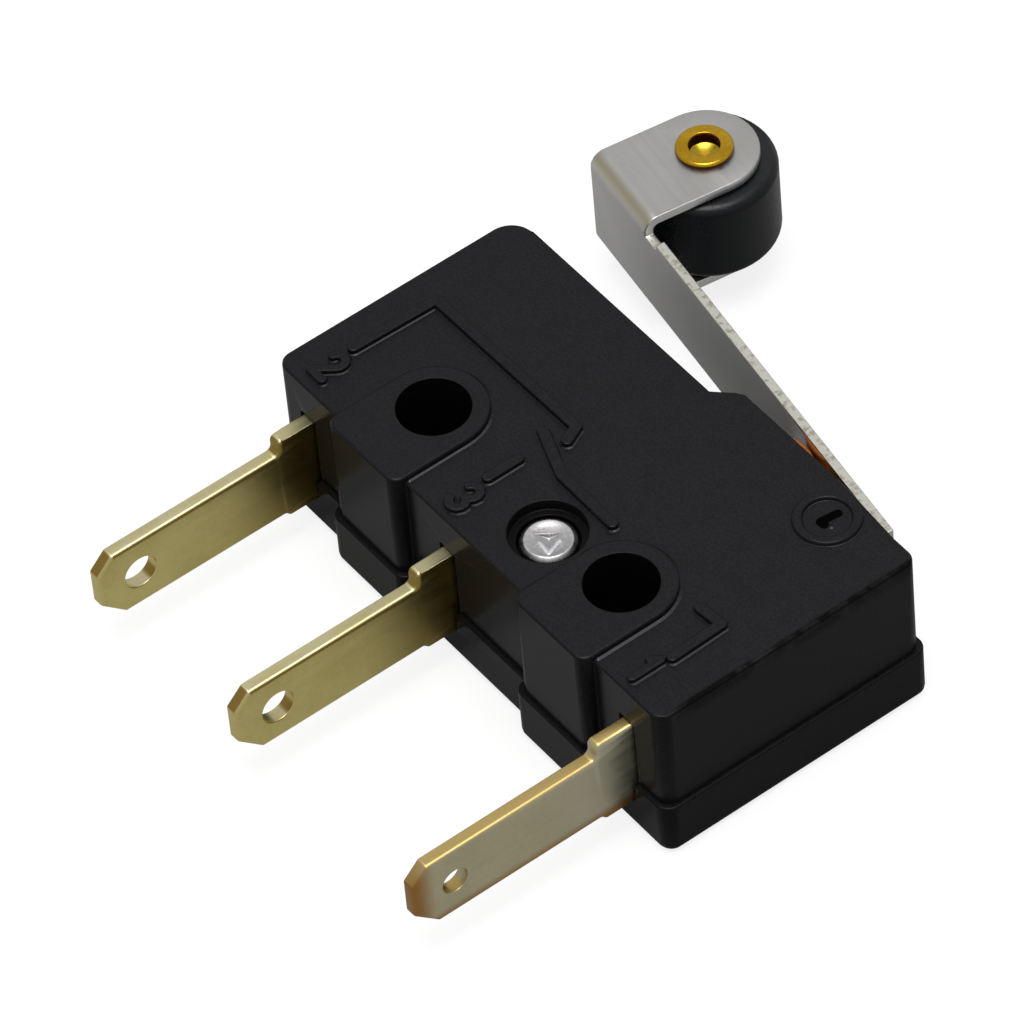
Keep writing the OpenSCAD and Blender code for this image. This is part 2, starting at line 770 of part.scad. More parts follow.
module roller() {
  rim = roller_d / 2;
  bore = axle_d / 2 + pin_gap;
  half = roller_w / 2;
  color("#232426")
    on_lever()
      translate([-roller_reach, roller_v, 0])
        rotate_extrude($fn = round_fn)
          polygon([[bore, -half], [rim - rim_cut, -half], [rim, rim_cut - half],
            [rim, half - rim_cut], [rim - rim_cut, half], [bore, half]]);
}

case();
cover();
closing_rivet();
terminal_common();
terminal_closed();
terminal_open();
blade_anchor();
anchor_rivet();
contact_closed();
contact_open();
moving_blade();
moving_contact();
snap_spring();
plunger();
hinge_pin();
lever();
roller_pin();
roller();
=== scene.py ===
import json
import math

import bmesh
import bpy
from mathutils import Matrix, Vector


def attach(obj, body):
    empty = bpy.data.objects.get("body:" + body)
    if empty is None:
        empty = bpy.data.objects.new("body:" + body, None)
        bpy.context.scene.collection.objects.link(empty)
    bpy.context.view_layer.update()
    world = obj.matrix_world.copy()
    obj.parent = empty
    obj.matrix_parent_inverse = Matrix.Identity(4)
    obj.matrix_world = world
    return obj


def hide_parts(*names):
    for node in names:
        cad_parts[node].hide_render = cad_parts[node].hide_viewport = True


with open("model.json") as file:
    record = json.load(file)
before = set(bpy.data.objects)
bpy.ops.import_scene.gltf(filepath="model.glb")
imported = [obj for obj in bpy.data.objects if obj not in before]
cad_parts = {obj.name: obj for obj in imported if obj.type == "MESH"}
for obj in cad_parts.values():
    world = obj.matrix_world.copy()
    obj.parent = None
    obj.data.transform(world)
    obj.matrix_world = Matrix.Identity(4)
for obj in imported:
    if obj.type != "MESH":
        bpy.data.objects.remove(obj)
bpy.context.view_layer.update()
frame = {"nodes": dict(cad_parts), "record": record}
mm = 0.001
nodes = frame["nodes"]
bodyOf = {node: body for body, members in frame["record"]["behaviour"]["bodies"].items() for node in members}
slotOf = {part["node"]: part["material_slot"] for part in frame["record"]["subparts"]}
print("frame loaded:", len(nodes), "nodes")

# Places and sizes on the switch in mm, from the middle of the mounting holes on the back face.
size = {"frontZ": 6.18, "padZ": 6.4, "padR": 1.78, "partingZ": 2.1, "wallY": -2.45, "holeX": 4.75,
        "ringX": 6.67, "ringY": 6.47, "rivetX": 1.48, "rivetY": -0.33, "rivetTop": 5.78,
        "closedX": -8.25, "openX": -1.02, "commonX": 8.0, "stripHalf": 0.25, "eyeY": -9.3, "eyeZ": 2.72,
        "pinX": -8.828, "pinY": 13.827, "punchZ": 4.89, "leverRise": 8.6}


def tone(red, green, blue):
    # Screen colour from 0 to 255, as the linear colour that nodes expect.
    linear = [(c / 255) / 12.92 if c < 10 else ((c / 255 + 0.055) / 1.055) ** 2.4 for c in (red, green, blue)]
    return (*linear, 1)


def newNode(tree, kind, **settings):
    node = tree.nodes.new(kind)
    for name, value in settings.items():
        setattr(node, name, value)
    return node


def newGroup(name, inputs, outputs):
    tree = bpy.data.node_groups.new(name, "ShaderNodeTree")
    for label, kind, value in inputs:
        socket = tree.interface.new_socket(label, in_out="INPUT", socket_type=kind)
        socket.default_value = value
    for label, kind in outputs:
        tree.interface.new_socket(label, in_out="OUTPUT", socket_type=kind)
    return tree, tree.nodes.new("NodeGroupInput"), tree.nodes.new("NodeGroupOutput")


def makeMottleGroup():
    # Soft patches and fine grain: a mask for colour, a value for roughness and a height.
    tree, inlet, outlet = newGroup(
        "mottle",
        [("Patch Scale", "NodeSocketFloat", 900), ("Grain Scale", "NodeSocketFloat", 9000),
         ("Grain Share", "NodeSocketFloat", 0.5), ("Low", "NodeSocketFloat", 0.3),
         ("High", "NodeSocketFloat", 0.5)],
        [("Mask", "NodeSocketFloat"), ("Roughness", "NodeSocketFloat"), ("Height", "NodeSocketFloat")])
    link = tree.links.new
    place = newNode(tree, "ShaderNodeTexCoord")
    patch = newNode(tree, "ShaderNodeTexNoise")
    patch.inputs["Detail"].default_value = 3
    grain = newNode(tree, "ShaderNodeTexNoise")
    grain.inputs["Detail"].default_value = 2
    mix = newNode(tree, "ShaderNodeMix", data_type="FLOAT")
    spread = newNode(tree, "ShaderNodeMapRange")
    spread.inputs["From Min"].default_value = 0.35
    spread.inputs["From Max"].default_value = 0.65
    link(place.outputs["Object"], patch.inputs["Vector"])
    link(place.outputs["Object"], grain.inputs["Vector"])
    link(inlet.outputs["Patch Scale"], patch.inputs["Scale"])
    link(inlet.outputs["Grain Scale"], grain.inputs["Scale"])
    link(inlet.outputs["Grain Share"], mix.inputs["Factor"])
    link(patch.outputs["Fac"], mix.inputs["A"])
    link(grain.outputs["Fac"], mix.inputs["B"])
    link(mix.outputs["Result"], spread.inputs["Value"])
    link(inlet.outputs["Low"], spread.inputs["To Min"])
    link(inlet.outputs["High"], spread.inputs["To Max"])
    link(mix.outputs["Result"], outlet.inputs["Mask"])
    link(spread.outputs["Result"], outlet.inputs["Roughness"])
    link(grain.outputs["Fac"], outlet.inputs["Height"])
    return tree


def makeStreakGroup():
    # Rolling marks: noise stretched along one direction of the piece.
    tree, inlet, outlet = newGroup(
        "rolledStreaks",
        [("Turn", "NodeSocketVector", (0, 0, 0)), ("Stretch", "NodeSocketVector", (60, 6000, 6000)),
         ("Low", "NodeSocketFloat", 0.3), ("High", "NodeSocketFloat", 0.5)],
        [("Mask", "NodeSocketFloat"), ("Roughness", "NodeSocketFloat")])
    link = tree.links.new
    place = newNode(tree, "ShaderNodeTexCoord")
    turn = newNode(tree, "ShaderNodeVectorRotate", rotation_type="EULER_XYZ")
    scale = newNode(tree, "ShaderNodeVectorMath", operation="MULTIPLY")
    noise = newNode(tree, "ShaderNodeTexNoise")
    noise.inputs["Scale"].default_value = 1
    noise.inputs["Detail"].default_value = 4
    spread = newNode(tree, "ShaderNodeMapRange")
    spread.inputs["From Min"].default_value = 0.3
    spread.inputs["From Max"].default_value = 0.7
    link(place.outputs["Object"], turn.inputs["Vector"])
    link(inlet.outputs["Turn"], turn.inputs["Rotation"])
    link(turn.outputs["Vector"], scale.inputs[0])
    link(inlet.outputs["Stretch"], scale.inputs[1])
    link(scale.outputs["Vector"], noise.inputs["Vector"])
    link(noise.outputs["Fac"], spread.inputs["Value"])
    link(inlet.outputs["Low"], spread.inputs["To Min"])
    link(inlet.outputs["High"], spread.inputs["To Max"])
    link(noise.outputs["Fac"], outlet.inputs["Mask"])
    link(spread.outputs["Result"], outlet.inputs["Roughness"])
    return tree


def makeFacingGroup():
    # How far the surface faces one direction of the piece, as a mask from 0 to 1.
    tree, inlet, outlet = newGroup(
        "facing",
        [("Direction", "NodeSocketVector", (0, 0, 1)), ("Start", "NodeSocketFloat", 0.4),
         ("End", "NodeSocketFloat", 0.9)],
        [("Mask", "NodeSocketFloat")])
    link = tree.links.new
    place = newNode(tree, "ShaderNodeTexCoord")
    dot = newNode(tree, "ShaderNodeVectorMath", operation="DOT_PRODUCT")
    spread = newNode(tree, "ShaderNodeMapRange")
    link(place.outputs["Normal"], dot.inputs[0])
    link(inlet.outputs["Direction"], dot.inputs[1])
    link(dot.outputs["Value"], spread.inputs["Value"])
    link(inlet.outputs["Start"], spread.inputs["From Min"])
    link(inlet.outputs["End"], spread.inputs["From Max"])
    link(spread.outputs["Result"], outlet.inputs["Mask"])
    return tree


def makeSpanGroup():
    # A soft step along one direction of the piece: 0 before Start, 1 after End, in metres.
    tree, inlet, outlet = newGroup(
        "span",
        [("Direction", "NodeSocketVector", (0, 1, 0)), ("Start", "NodeSocketFloat", 0),
         ("End", "NodeSocketFloat", 0.001)],
        [("Mask", "NodeSocketFloat")])
    link = tree.links.new
    place = newNode(tree, "ShaderNodeTexCoord")
    dot = newNode(tree, "ShaderNodeVectorMath", operation="DOT_PRODUCT")
    spread = newNode(tree, "ShaderNodeMapRange", interpolation_type="SMOOTHSTEP")
    link(place.outputs["Object"], dot.inputs[0])
    link(inlet.outputs["Direction"], dot.inputs[1])
    link(dot.outputs["Value"], spread.inputs["Value"])
    link(inlet.outputs["Start"], spread.inputs["From Min"])
    link(inlet.outputs["End"], spread.inputs["From Max"])
    link(spread.outputs["Result"], outlet.inputs["Mask"])
    return tree


def makeReachGroup():
    # Distance from a point or, with a zero in Scale, from an axis: 0 before Start, 1 after End, in metres.
    tree, inlet, outlet = newGroup(
        "reach",
        [("Centre", "NodeSocketVector", (0, 0, 0)), ("Scale", "NodeSocketVector", (1, 1, 0)),
         ("Start", "NodeSocketFloat", 0), ("End", "NodeSocketFloat", 0.001)],
        [("Mask", "NodeSocketFloat")])
    link = tree.links.new
    place = newNode(tree, "ShaderNodeTexCoord")
    offset = newNode(tree, "ShaderNodeVectorMath", operation="SUBTRACT")
    scale = newNode(tree, "ShaderNodeVectorMath", operation="MULTIPLY")
    length = newNode(tree, "ShaderNodeVectorMath", operation="LENGTH")
    spread = newNode(tree, "ShaderNodeMapRange", interpolation_type="SMOOTHSTEP")
    link(place.outputs["Object"], offset.inputs[0])
    link(inlet.outputs["Centre"], offset.inputs[1])
    link(offset.outputs["Vector"], scale.inputs[0])
    link(inlet.outputs["Scale"], scale.inputs[1])
    link(scale.outputs["Vector"], length.inputs[0])
    link(length.outputs["Value"], spread.inputs["Value"])
    link(inlet.outputs["Start"], spread.inputs["From Min"])
    link(inlet.outputs["End"], spread.inputs["From Max"])
    link(spread.outputs["Result"], outlet.inputs["Mask"])
    return tree


mottleGroup = makeMottleGroup()
streakGroup = makeStreakGroup()
facingGroup = makeFacingGroup()
spanGroup = makeSpanGroup()
reachGroup = makeReachGroup()


class Finish:
    # One material: a Principled shader, and short calls that feed it. Lengths are in mm.
    def __init__(self, name, sockets):
        self.material = bpy.data.materials.new(name)
        self.material.use_nodes = True
        self.tree = self.material.node_tree
        self.shader = self.tree.nodes["Principled BSDF"]
        for label, value in sockets.items():
            self.shader.inputs[label].default_value = value

    def feed(self, value, socket):
        if isinstance(value, bpy.types.NodeSocket):
            self.tree.links.new(value, socket)
        else:
            socket.default_value = value

    def use(self, label, value):
        self.feed(value, self.shader.inputs[label])

    def group(self, tree, **values):
        # A value named patchScale goes to the socket "Patch Scale".
        node = newNode(self.tree, "ShaderNodeGroup", node_tree=tree)
        for word, value in values.items():
            label = "".join(" " + letter if letter.isupper() else letter for letter in word).title()
            node.inputs[label].default_value = value
        return node

    def facing(self, direction, start, end):
        return self.group(facingGroup, direction=direction, start=start, end=end).outputs["Mask"]

    def span(self, direction, start, end):
        node = self.group(spanGroup, direction=direction, start=start * mm, end=end * mm)
        return node.outputs["Mask"]

    def awayFrom(self, x, y, start, end):
        node = self.group(reachGroup, centre=(x * mm, y * mm, 0), start=start * mm, end=end * mm)
        return node.outputs["Mask"]

    def mixColor(self, factor, first, second):
        node = newNode(self.tree, "ShaderNodeMix", data_type="RGBA")
        self.feed(factor, node.inputs["Factor"])
        self.feed(first, node.inputs["A"])
        self.feed(second, node.inputs["B"])
        return node.outputs[2]

    def mixTones(self, factor, tones):
        return self.mixColor(factor, tone(*tones[0]), tone(*tones[1]))

    def mixValue(self, factor, first, second):
        node = newNode(self.tree, "ShaderNodeMix", data_type="FLOAT")
        self.feed(factor, node.inputs[0])
        self.feed(first, node.inputs[2])
        self.feed(second, node.inputs[3])
        return node.outputs[0]

    def math(self, operation, first, second):
        node = newNode(self.tree, "ShaderNodeMath", operation=operation)
        self.feed(first, node.inputs[0])
        self.feed(second, node.inputs[1])
        return node.outputs[0]

    def both(self, first, second):
        return self.math("MULTIPLY", first, second)

    def stretch(self, value, low, high):
        node = newNode(self.tree, "ShaderNodeMapRange")
        self.feed(value, node.inputs["Value"])
        node.inputs["From Min"].default_value = low
        node.inputs["From Max"].default_value = high
        return node.outputs["Result"]

    def bump(self, height, distance, strength):
        node = newNode(self.tree, "ShaderNodeBump")
        node.inputs["Distance"].default_value = distance * mm
        node.inputs["Strength"].default_value = strength
        self.feed(height, node.inputs["Height"])
        self.use("Normal", node.outputs["Normal"])


def shaded(shade, share):
    return tone(*[channel * share for channel in shade])


# Black plastic: shares of the gloss and of the shade colour on each part of a moulding; the tone shares paint
# shade on the end face, the lee slopes and the top-edge patches, and a highlight at the foot of the relief.
moulding = {
    "grainStep": 4, "holeShadeTone": (4, 4, 4), "flankRoughness": 0.22,
    "shine": {"endFaceShade": 0.4, "flank": 0.4, "foot": 2.6, "corner": 0.3, "lee": 0.25, "topEdgeShade": 0.25},
    "tone": {"endFaceShade": 0.8, "foot": 1.8, "lee": 0.6, "topEdgeShade": 0.4}}


def holeShadeMask(finish):
    # Mask of the painted shade: 0 in the mounting holes, low in the recess of the rivet, 1 elsewhere; where
    # it is low the colour goes near black and the shine goes.
    mask = finish.stretch(finish.awayFrom(size["rivetX"], size["rivetY"], 1.2, 1.36), -0.6, 1)
    for side in (-1, 1):
        mask = finish.both(mask, finish.awayFrom(side * size["holeX"], 0, 1.16, 1.24))
    return mask


def footHighlightMask(finish):
    # Gentle slopes at the foot of the relief that face the hinge end; they get a painted highlight, a
    # brighter colour as well as more shine.
    slope = finish.facing((0.4, 0, 0.917), 0.955, 0.985)
    above = finish.span((0, 0, 1), size["frontZ"] - 0.002, size["frontZ"] + 0.004)
    below = finish.span((0, 0, -1), -size["frontZ"] - 0.06, -size["frontZ"] - 0.045)
    return finish.both(finish.both(slope, above), below)


def leeShadeMask(finish):
    # Slopes that face away from the hinge end, without the steep walls; they get painted shade.
    away = (-0.8, 0.6, 0)
    return finish.both(finish.facing(away, 0.08, 0.3), finish.facing(away, 0.55, 0.4))


def topEdgeShadePatches(finish):
    # Patches of painted shade along the rounded top edge at the hinge end.
    topEdge = finish.both(finish.span((1, 0, 0), 9.5, 9.64), finish.span((0, 0, 1), 5.5, 5.95))
    shadeNoise = finish.group(mottleGroup, patchScale=620, grainScale=2400, grainShare=0.35, low=0, high=1)
    return finish.both(topEdge, finish.stretch(shadeNoise.outputs["Mask"], 0.38, 0.52))


def makeBlackMoulding(name, shade, low, high, gloss):
    finish = Finish(name, {"IOR": 1.45})
    mottle = finish.group(mottleGroup, patchScale=1600, grainScale=12000, grainShare=0.85, low=low, high=high)
    outsideHoleShade = holeShadeMask(finish)
    # The end face, the lee slopes and the top-edge patches get painted shade, the foot of the relief a
    # painted highlight; the flank and the corner change only shine, the flank also roughness.
    parts = {
        "endFaceShade": finish.facing((1, 0, 0), 0.3, 0.95), "flank": finish.facing((0, -1, 0), 0.3, 0.95),
        "foot": footHighlightMask(finish), "corner": finish.facing((0.75, -0.66, 0), 0.78, 0.96),
        "lee": leeShadeMask(finish), "topEdgeShade": topEdgeShadePatches(finish)}
    shine = gloss
    for part, share in moulding["shine"].items():
        shine = finish.mixValue(parts[part], shine, gloss * share)
    # No shine in the painted shade of the holes.
    finish.use("Specular IOR Level", finish.both(shine, outsideHoleShade))
    step = moulding["grainStep"]
    grains = [[max(channel - step, 0) for channel in shade], [channel + step for channel in shade]]
    colour = finish.mixTones(finish.stretch(mottle.outputs["Mask"], 0.38, 0.62), grains)
    # Paints the shade and the highlight of the tone shares into the colour.
    for part, share in moulding["tone"].items():
        colour = finish.mixColor(parts[part], colour, shaded(shade, share))
    # Painted shade: near black in the mounting holes and the recess of the rivet.
    finish.use("Base Color", finish.mixColor(outsideHoleShade, tone(*moulding["holeShadeTone"]), colour))
    rough = finish.mixValue(parts["flank"], mottle.outputs["Roughness"], moulding["flankRoughness"])
    finish.use("Roughness", rough)
    finish.bump(mottle.outputs["Height"], 0.004, 0.5)
    return finish.material


brass = {"face": ((214, 199, 126), (228, 214, 142)), "wallShade": (146, 126, 62),
         "edge": ((236, 222, 164), (246, 236, 190)), "turned": (150, 124, 66), "cut": (170, 140, 76),
         "silver": ((194, 186, 152), (204, 196, 162)), "silverNearWall": (204, 198, 172),
         "stain": (168, 122, 60), "goldEdge": (226, 197, 128), "streaks": (120, 4500, 4500)}


def makeBrass(name):
    # Stamped strip: satin faces; up-facing sheared edges paler, partly their own burnish and partly a painted
    # highlight; painted shade towards the wall; the common tab is silvery.
    finish = Finish(name, {"Metallic": 1})
    turn = (0, 0, math.pi / 2)
    streaks = finish.group(streakGroup, turn=turn, stretch=brass["streaks"], low=0.32, high=0.44)
    mottle = finish.group(mottleGroup, patchScale=420, grainScale=5200, grainShare=0.25, low=0.3, high=0.5)
    patches = finish.stretch(mottle.outputs["Mask"], 0.38, 0.62)
    top = finish.facing((0, 0, 1), 0.55, 0.9)
    # Darker towards the wall: painted shade, for the dark case and shaded floor that the faces mirror there.
    wallShade = finish.span((0, 1, 0), -6.6, -2.7)
    plain = finish.mixColor(wallShade, finish.mixTones(patches, brass["face"]), tone(*brass["wallShade"]))
    # Paler up-facing sheared edges: their own burnish with a painted highlight on top.
    plain = finish.mixColor(top, plain, finish.mixTones(patches, brass["edge"]))
    plain = finish.mixColor(finish.facing((0.8, 0, 0.6), 0.93, 0.995), plain, tone(*brass["turned"]))
    plain = finish.mixColor(finish.facing((0, -0.75, 0.66), 0.9, 0.98), plain, tone(*brass["cut"]))
    silver = finish.mixTones(patches, brass["silver"])
    # Over the same span the common tab turns paler.
    silver = finish.mixColor(wallShade, silver, tone(*brass["silverNearWall"]))
    stain = finish.math("MAXIMUM", finish.span((0, -1, 0), 9.9, 10.75), finish.span((0, 0, -1), -1.85, -1.35))
    silver = finish.mixColor(stain, silver, tone(*brass["stain"]))
    silver = finish.mixColor(top, silver, tone(*brass["goldEdge"]))
    commonTab = finish.span((1, 0, 0), 5, 6)
    finish.use("Base Color", finish.mixColor(commonTab, plain, silver))
    finish.use("Roughness", streaks.outputs["Roughness"])
    finish.bump(streaks.outputs["Mask"], 0.003, 0.35)
    return finish.material


steel = {"face": ((208, 207, 204), (215, 214, 212)), "hingeEnd": (196, 196, 193), "fold": (196, 190, 168),
         "edge": ((206, 201, 184), (250, 248, 237)), "streaks": (90, 7000, 7000), "nicks": (5600, 4200, 2600),
         "nickHeight": 7, "dullMetal": 0.2, "dullRoughness": 0.5, "polishRoughness": 0.14}


def makeSteelSheet(name):
    # Rolled sheet: fine marks along the arm, warm folds, and a bright sheared edge with nicks; the sheared
    # edge is its own burnish, and its near-white nicks are painted glints.
    finish = Finish(name, {"Metallic": 1})
    turn = (0, 0, math.radians(size["leverRise"]))
    streaks = finish.group(streakGroup, turn=turn, stretch=steel["streaks"], low=0.36, high=0.42)
    nicks = finish.group(streakGroup, turn=turn, stretch=steel["nicks"], low=0.2, high=0.5)
    mottle = finish.group(mottleGroup, patchScale=500, grainScale=8000, grainShare=0.3, low=0.3, high=0.5)
    sheared = finish.both(finish.facing((0, 0, 1), 0.5, 0.85), finish.span((0, 0, -1), -5.05, -4.92))
    face = finish.mixTones(finish.stretch(mottle.outputs["Mask"], 0.4, 0.62), steel["face"])
    face = finish.mixColor(finish.span((1, 0, 0), -8, 2), face, tone(*steel["hingeEnd"]))
    face = finish.mixColor(finish.facing((-0.1, -0.7, 0.7), 0.82, 0.98), face, tone(*steel["fold"]))
    # Up-facing sheared edge: its own burnish, with painted glints where the nicks turn near white.
    edge = finish.mixTones(finish.stretch(nicks.outputs["Mask"], 0.36, 0.5), steel["edge"])
    finish.use("Base Color", finish.mixColor(sheared, face, edge))
    # The underside is dull, but keeps its polish beside the plunger and mirrors it.
    under = finish.facing((-0.15, -0.99, 0), 0.7, 0.95)
    dull = finish.both(under, finish.span((-1, 0, 0), -2.3, -1.3))
    polished = finish.math("SUBTRACT", under, dull)
    rough = finish.mixValue(dull, streaks.outputs["Roughness"], steel["dullRoughness"])
    finish.use("Metallic", finish.mixValue(dull, 1, steel["dullMetal"]))
    finish.use("Roughness", finish.mixValue(polished, rough, steel["polishRoughness"]))
    deep = finish.both(nicks.outputs["Mask"], steel["nickHeight"])
    finish.bump(finish.mixValue(sheared, streaks.outputs["Mask"], deep), 0.003, 0.4)
    return finish.material


pinBrass = {"side": (150, 92, 24), "head": ((222, 172, 44), (236, 190, 58)),
            "hollow": ((70, 36, 12), (250, 216, 70))}


def makePinBrass(name):
    # Turned pin: darker on its sides and browner and darker on the walls of its hollow, both painted shade,
    # and brighter on the hollow's floor, a painted highlight.
    finish = Finish(name, {"Metallic": 1})
    mottle = finish.group(mottleGroup, patchScale=1400, grainScale=9000, grainShare=0.4, low=0.2, high=0.32)
    up = finish.facing((0, 0, 1), 0.2, 0.8)
    head = finish.mixTones(finish.stretch(mottle.outputs["Mask"], 0.38, 0.62), pinBrass["head"])
    # Painted shade on the sides; the up-facing head keeps the plain brass.
    outside = finish.mixColor(up, tone(*pinBrass["side"]), head)
    inHollow = finish.span((0, 0, -1), -5.45, -5.38)
    # Painted shade on the walls of the hollow, a painted highlight on its floor.
    finish.use("Base Color", finish.mixColor(inHollow, outside, finish.mixTones(up, pinBrass["hollow"])))
    finish.use("Roughness", mottle.outputs["Roughness"])
    return finish.material


def makePlainMetal(name, shade, low, high):
    finish = Finish(name, {"Metallic": 1})
    mottle = finish.group(mottleGroup, patchScale=1400, grainScale=9000, grainShare=0.4, low=low, high=high)
    patches = finish.stretch(mottle.outputs["Mask"], 0.38, 0.62)
    finish.use("Base Color", finish.mixColor(patches, shaded(shade, 0.9), tone(*shade)))
    finish.use("Roughness", mottle.outputs["Roughness"])
    finish.bump(mottle.outputs["Height"], 0.003, 0.4)
    return finish.material


def makeAmber(name):
    finish = Finish(name, {"IOR": 1.5})
    mottle = finish.group(mottleGroup, patchScale=900, grainScale=7000, grainShare=0.3, low=0.28, high=0.4)
    patches = finish.stretch(mottle.outputs["Mask"], 0.4, 0.6)
    finish.use("Base Color", finish.mixTones(patches, ((182, 98, 30), (206, 120, 44))))
    finish.use("Roughness", mottle.outputs["Roughness"])
    finish.bump(mottle.outputs["Height"], 0.002, 0.4)
    return finish.material


def makeRecessShade(name):
    # Painted shade: near black, as the inside of a narrow recess that sends almost no light back.
    finish = Finish(name, {"Specular IOR Level": 0.02})
    mottle = finish.group(mottleGroup, patchScale=1600, grainScale=9000, low=0.8, high=0.95)
    finish.use("Base Color", finish.mixTones(mottle.outputs["Mask"], ((2, 2, 2), (7, 7, 7))))
    finish.use("Roughness", mottle.outputs["Roughness"])
    return finish.material


finishes = {
    "case_black": makeBlackMoulding("caseBlack", (23, 23, 26), 0.32, 0.44, 0.28),
    "cover_black": makeBlackMoulding("coverBlack", (17, 17, 19), 0.36, 0.48, 0.25),
    "rivet_aluminium": makePlainMetal("rivetAluminium", (228, 226, 227), 0.3, 0.42),
    "terminal_brass": makeBrass("terminalBrass"),
    "anchor_brass": makePlainMetal("anchorBrass", (190, 168, 100), 0.3, 0.45),
    "contact_silver": makePlainMetal("contactSilver", (226, 226, 222), 0.15, 0.3),
    "spring_copper": makePlainMetal("springCopper", (206, 150, 96), 0.2, 0.35),
    "plunger_amber": makeAmber("plungerAmber"),
    "pin_steel": makePlainMetal("pinSteel", (190, 192, 194), 0.2, 0.3),
    "lever_steel": makeSteelSheet("leverSteel"),
    "pin_brass": makePinBrass("pinBrass"),
    "painted_recess_shade": makeRecessShade("paintedRecessShade"),
    "lip_painted_highlight": makePlainMetal("lipPaintedHighlight", (250, 250, 252), 0.5, 0.6),
    "roller_black": makeBlackMoulding("rollerBlack", (24, 26, 29), 0.3, 0.42, 0.5),
}
print("finishes made:", len(finishes))


def addPiece(name, mesh, body, slotName, *replaced):
    piece = bpy.data.objects.new(name, mesh)
    bpy.context.scene.collection.objects.link(piece)
    mesh.materials.clear()
    mesh.materials.append(finishes[slotName])
    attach(piece, body)
    if replaced:
        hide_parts(*replaced)
    return piece


def mergedCopy(node):
    # The node's triangles with shared corners joined and flat faces made whole.
    form = bmesh.new()
    form.from_mesh(nodes[node].data)
    bmesh.ops.remove_doubles(form, verts=form.verts, dist=0.001 * mm)
    bmesh.ops.dissolve_limit(form, angle_limit=math.radians(0.4), verts=form.verts, edges=form.edges)
    return form


def finishForm(form, name, smooth=True):
    if smooth:
        bmesh.ops.recalc_face_normals(form, faces=form.faces)
        for face in form.faces:
            face.smooth = True
    mesh = bpy.data.meshes.new(name)
    form.to_mesh(mesh)
    form.free()
    return mesh


def addBevel(piece, width, segments, limit):
    bevel = piece.modifiers.new("softEdges", "BEVEL")
    bevel.width = width
    bevel.segments = segments
    bevel.limit_method = limit
    bevel.angle_limit = math.radians(32)
    bevel.use_clamp_overlap = False
    bevel.loop_slide = False
    bevel.miter_outer = "MITER_ARC"
    split = piece.modifiers.new("cleanSplit", "TRIANGULATE")
    split.min_vertices = 5
    split.ngon_method = "BEAUTY"
    normals = piece.modifiers.new("evenShading", "WEIGHTED_NORMAL")
    normals.keep_sharp = True


def markEdges(form, rules):
    # Each rule is a width in mm and a test on the middle of an edge; the first that fits is used.
    weight = form.edges.layers.float.new("bevel_weight_edge")
    widest = max(width for width, test in rules)
    for edge in form.edges:
        if len(edge.link_faces) != 2 or edge.calc_face_angle(0) < math.radians(32):
            continue
        middle = (edge.verts[0].co + edge.verts[1].co) / (2 * mm)
        width = next((width for width, test in rules if test(middle)), 0)
        edge[weight] = width / widest
        edge.smooth = width > 0
    return widest * mm


def dress(node, rules, segments=3, change=None):
    form = mergedCopy(node)
    if change:
        change(form)
    widest = markEdges(form, rules)
    piece = addPiece(node + "Dressed", finishForm(form, node + "Dressed"), bodyOf[node], slotOf[node], node)
    addBevel(piece, widest, segments, "WEIGHT")
    return piece


def near(middle, x, y, radius):
    return math.hypot(middle.x - x, middle.y - y) < radius


def sinkMark(form, x, y, radius, low, high, point):
    # Draws the floor of a punched mark, between the two levels, together into one point.
    floor = [vert for vert in form.verts if near(vert.co / mm, x, y, radius) and low < vert.co.z / mm < high]
    if floor:
        bmesh.ops.pointmerge(form, verts=floor, merge_co=Vector(point) * mm)


# Width of the rounding in mm, and which edges of the case or cover it is for.
caseRules = [
    (0.05, lambda at: near(at, size["ringX"], size["ringY"], 1.3) and at.z > size["frontZ"] + 0.02),
    (0.02, lambda at: near(at, size["ringX"], size["ringY"], 1.3) and at.z > size["frontZ"] - 0.1),
    (0.05, lambda at: near(at, size["rivetX"], size["rivetY"], 1.4)),
    (0.03, lambda at: any(near(at, side * size["holeX"], 0, 1.25) for side in (-1, 1))),
    (0.11, lambda at: at.z > size["padZ"] - 0.01),
    (0.02, lambda at: abs(abs(at.x) - size["holeX"]) < 1.8 and at.y > size["wallY"] + 0.01
        and at.z > size["frontZ"] - 0.01),
    (0.1, lambda at: at.z > size["frontZ"] - 0.01),
    (0.05, lambda at: at.z > size["partingZ"]),
    (0.03, lambda at: True)]
coverRules = [
    (0.05, lambda at: any(near(at, side * size["holeX"], 0, 1.25) for side in (-1, 1))),
    (0.04, lambda at: near(at, size["rivetX"], size["rivetY"], 1.2)),
    (0.34, lambda at: at.z < 0.01),
    (0.07, lambda at: at.z > size["partingZ"] - 0.01),
    (0.04, lambda at: True)]


def terminalRules(middleX):
    # The edges towards the hinge end were turned under in the press, so they are rounder.
    return [
        (0.04, lambda at: math.hypot(at.y - size["eyeY"], at.z - size["eyeZ"]) < 0.7),
        (0.03, lambda at: at.y > size["wallY"]),
        (0.15, lambda at: at.x > middleX + size["stripHalf"] - 0.01),
        (0.06, lambda at: True)]


# Small changes of form: shares of a distance, or lengths in mm.
touch = {"ringInwards": 0.14, "ringRise": 0.05, "headRise": 0.07, "headSpread": 0.1, "headHeight": 0.4,
         "setMark": (-0.15, 0.12, -0.24), "coneSink": 0.02, "eyeClosing": 0.22}


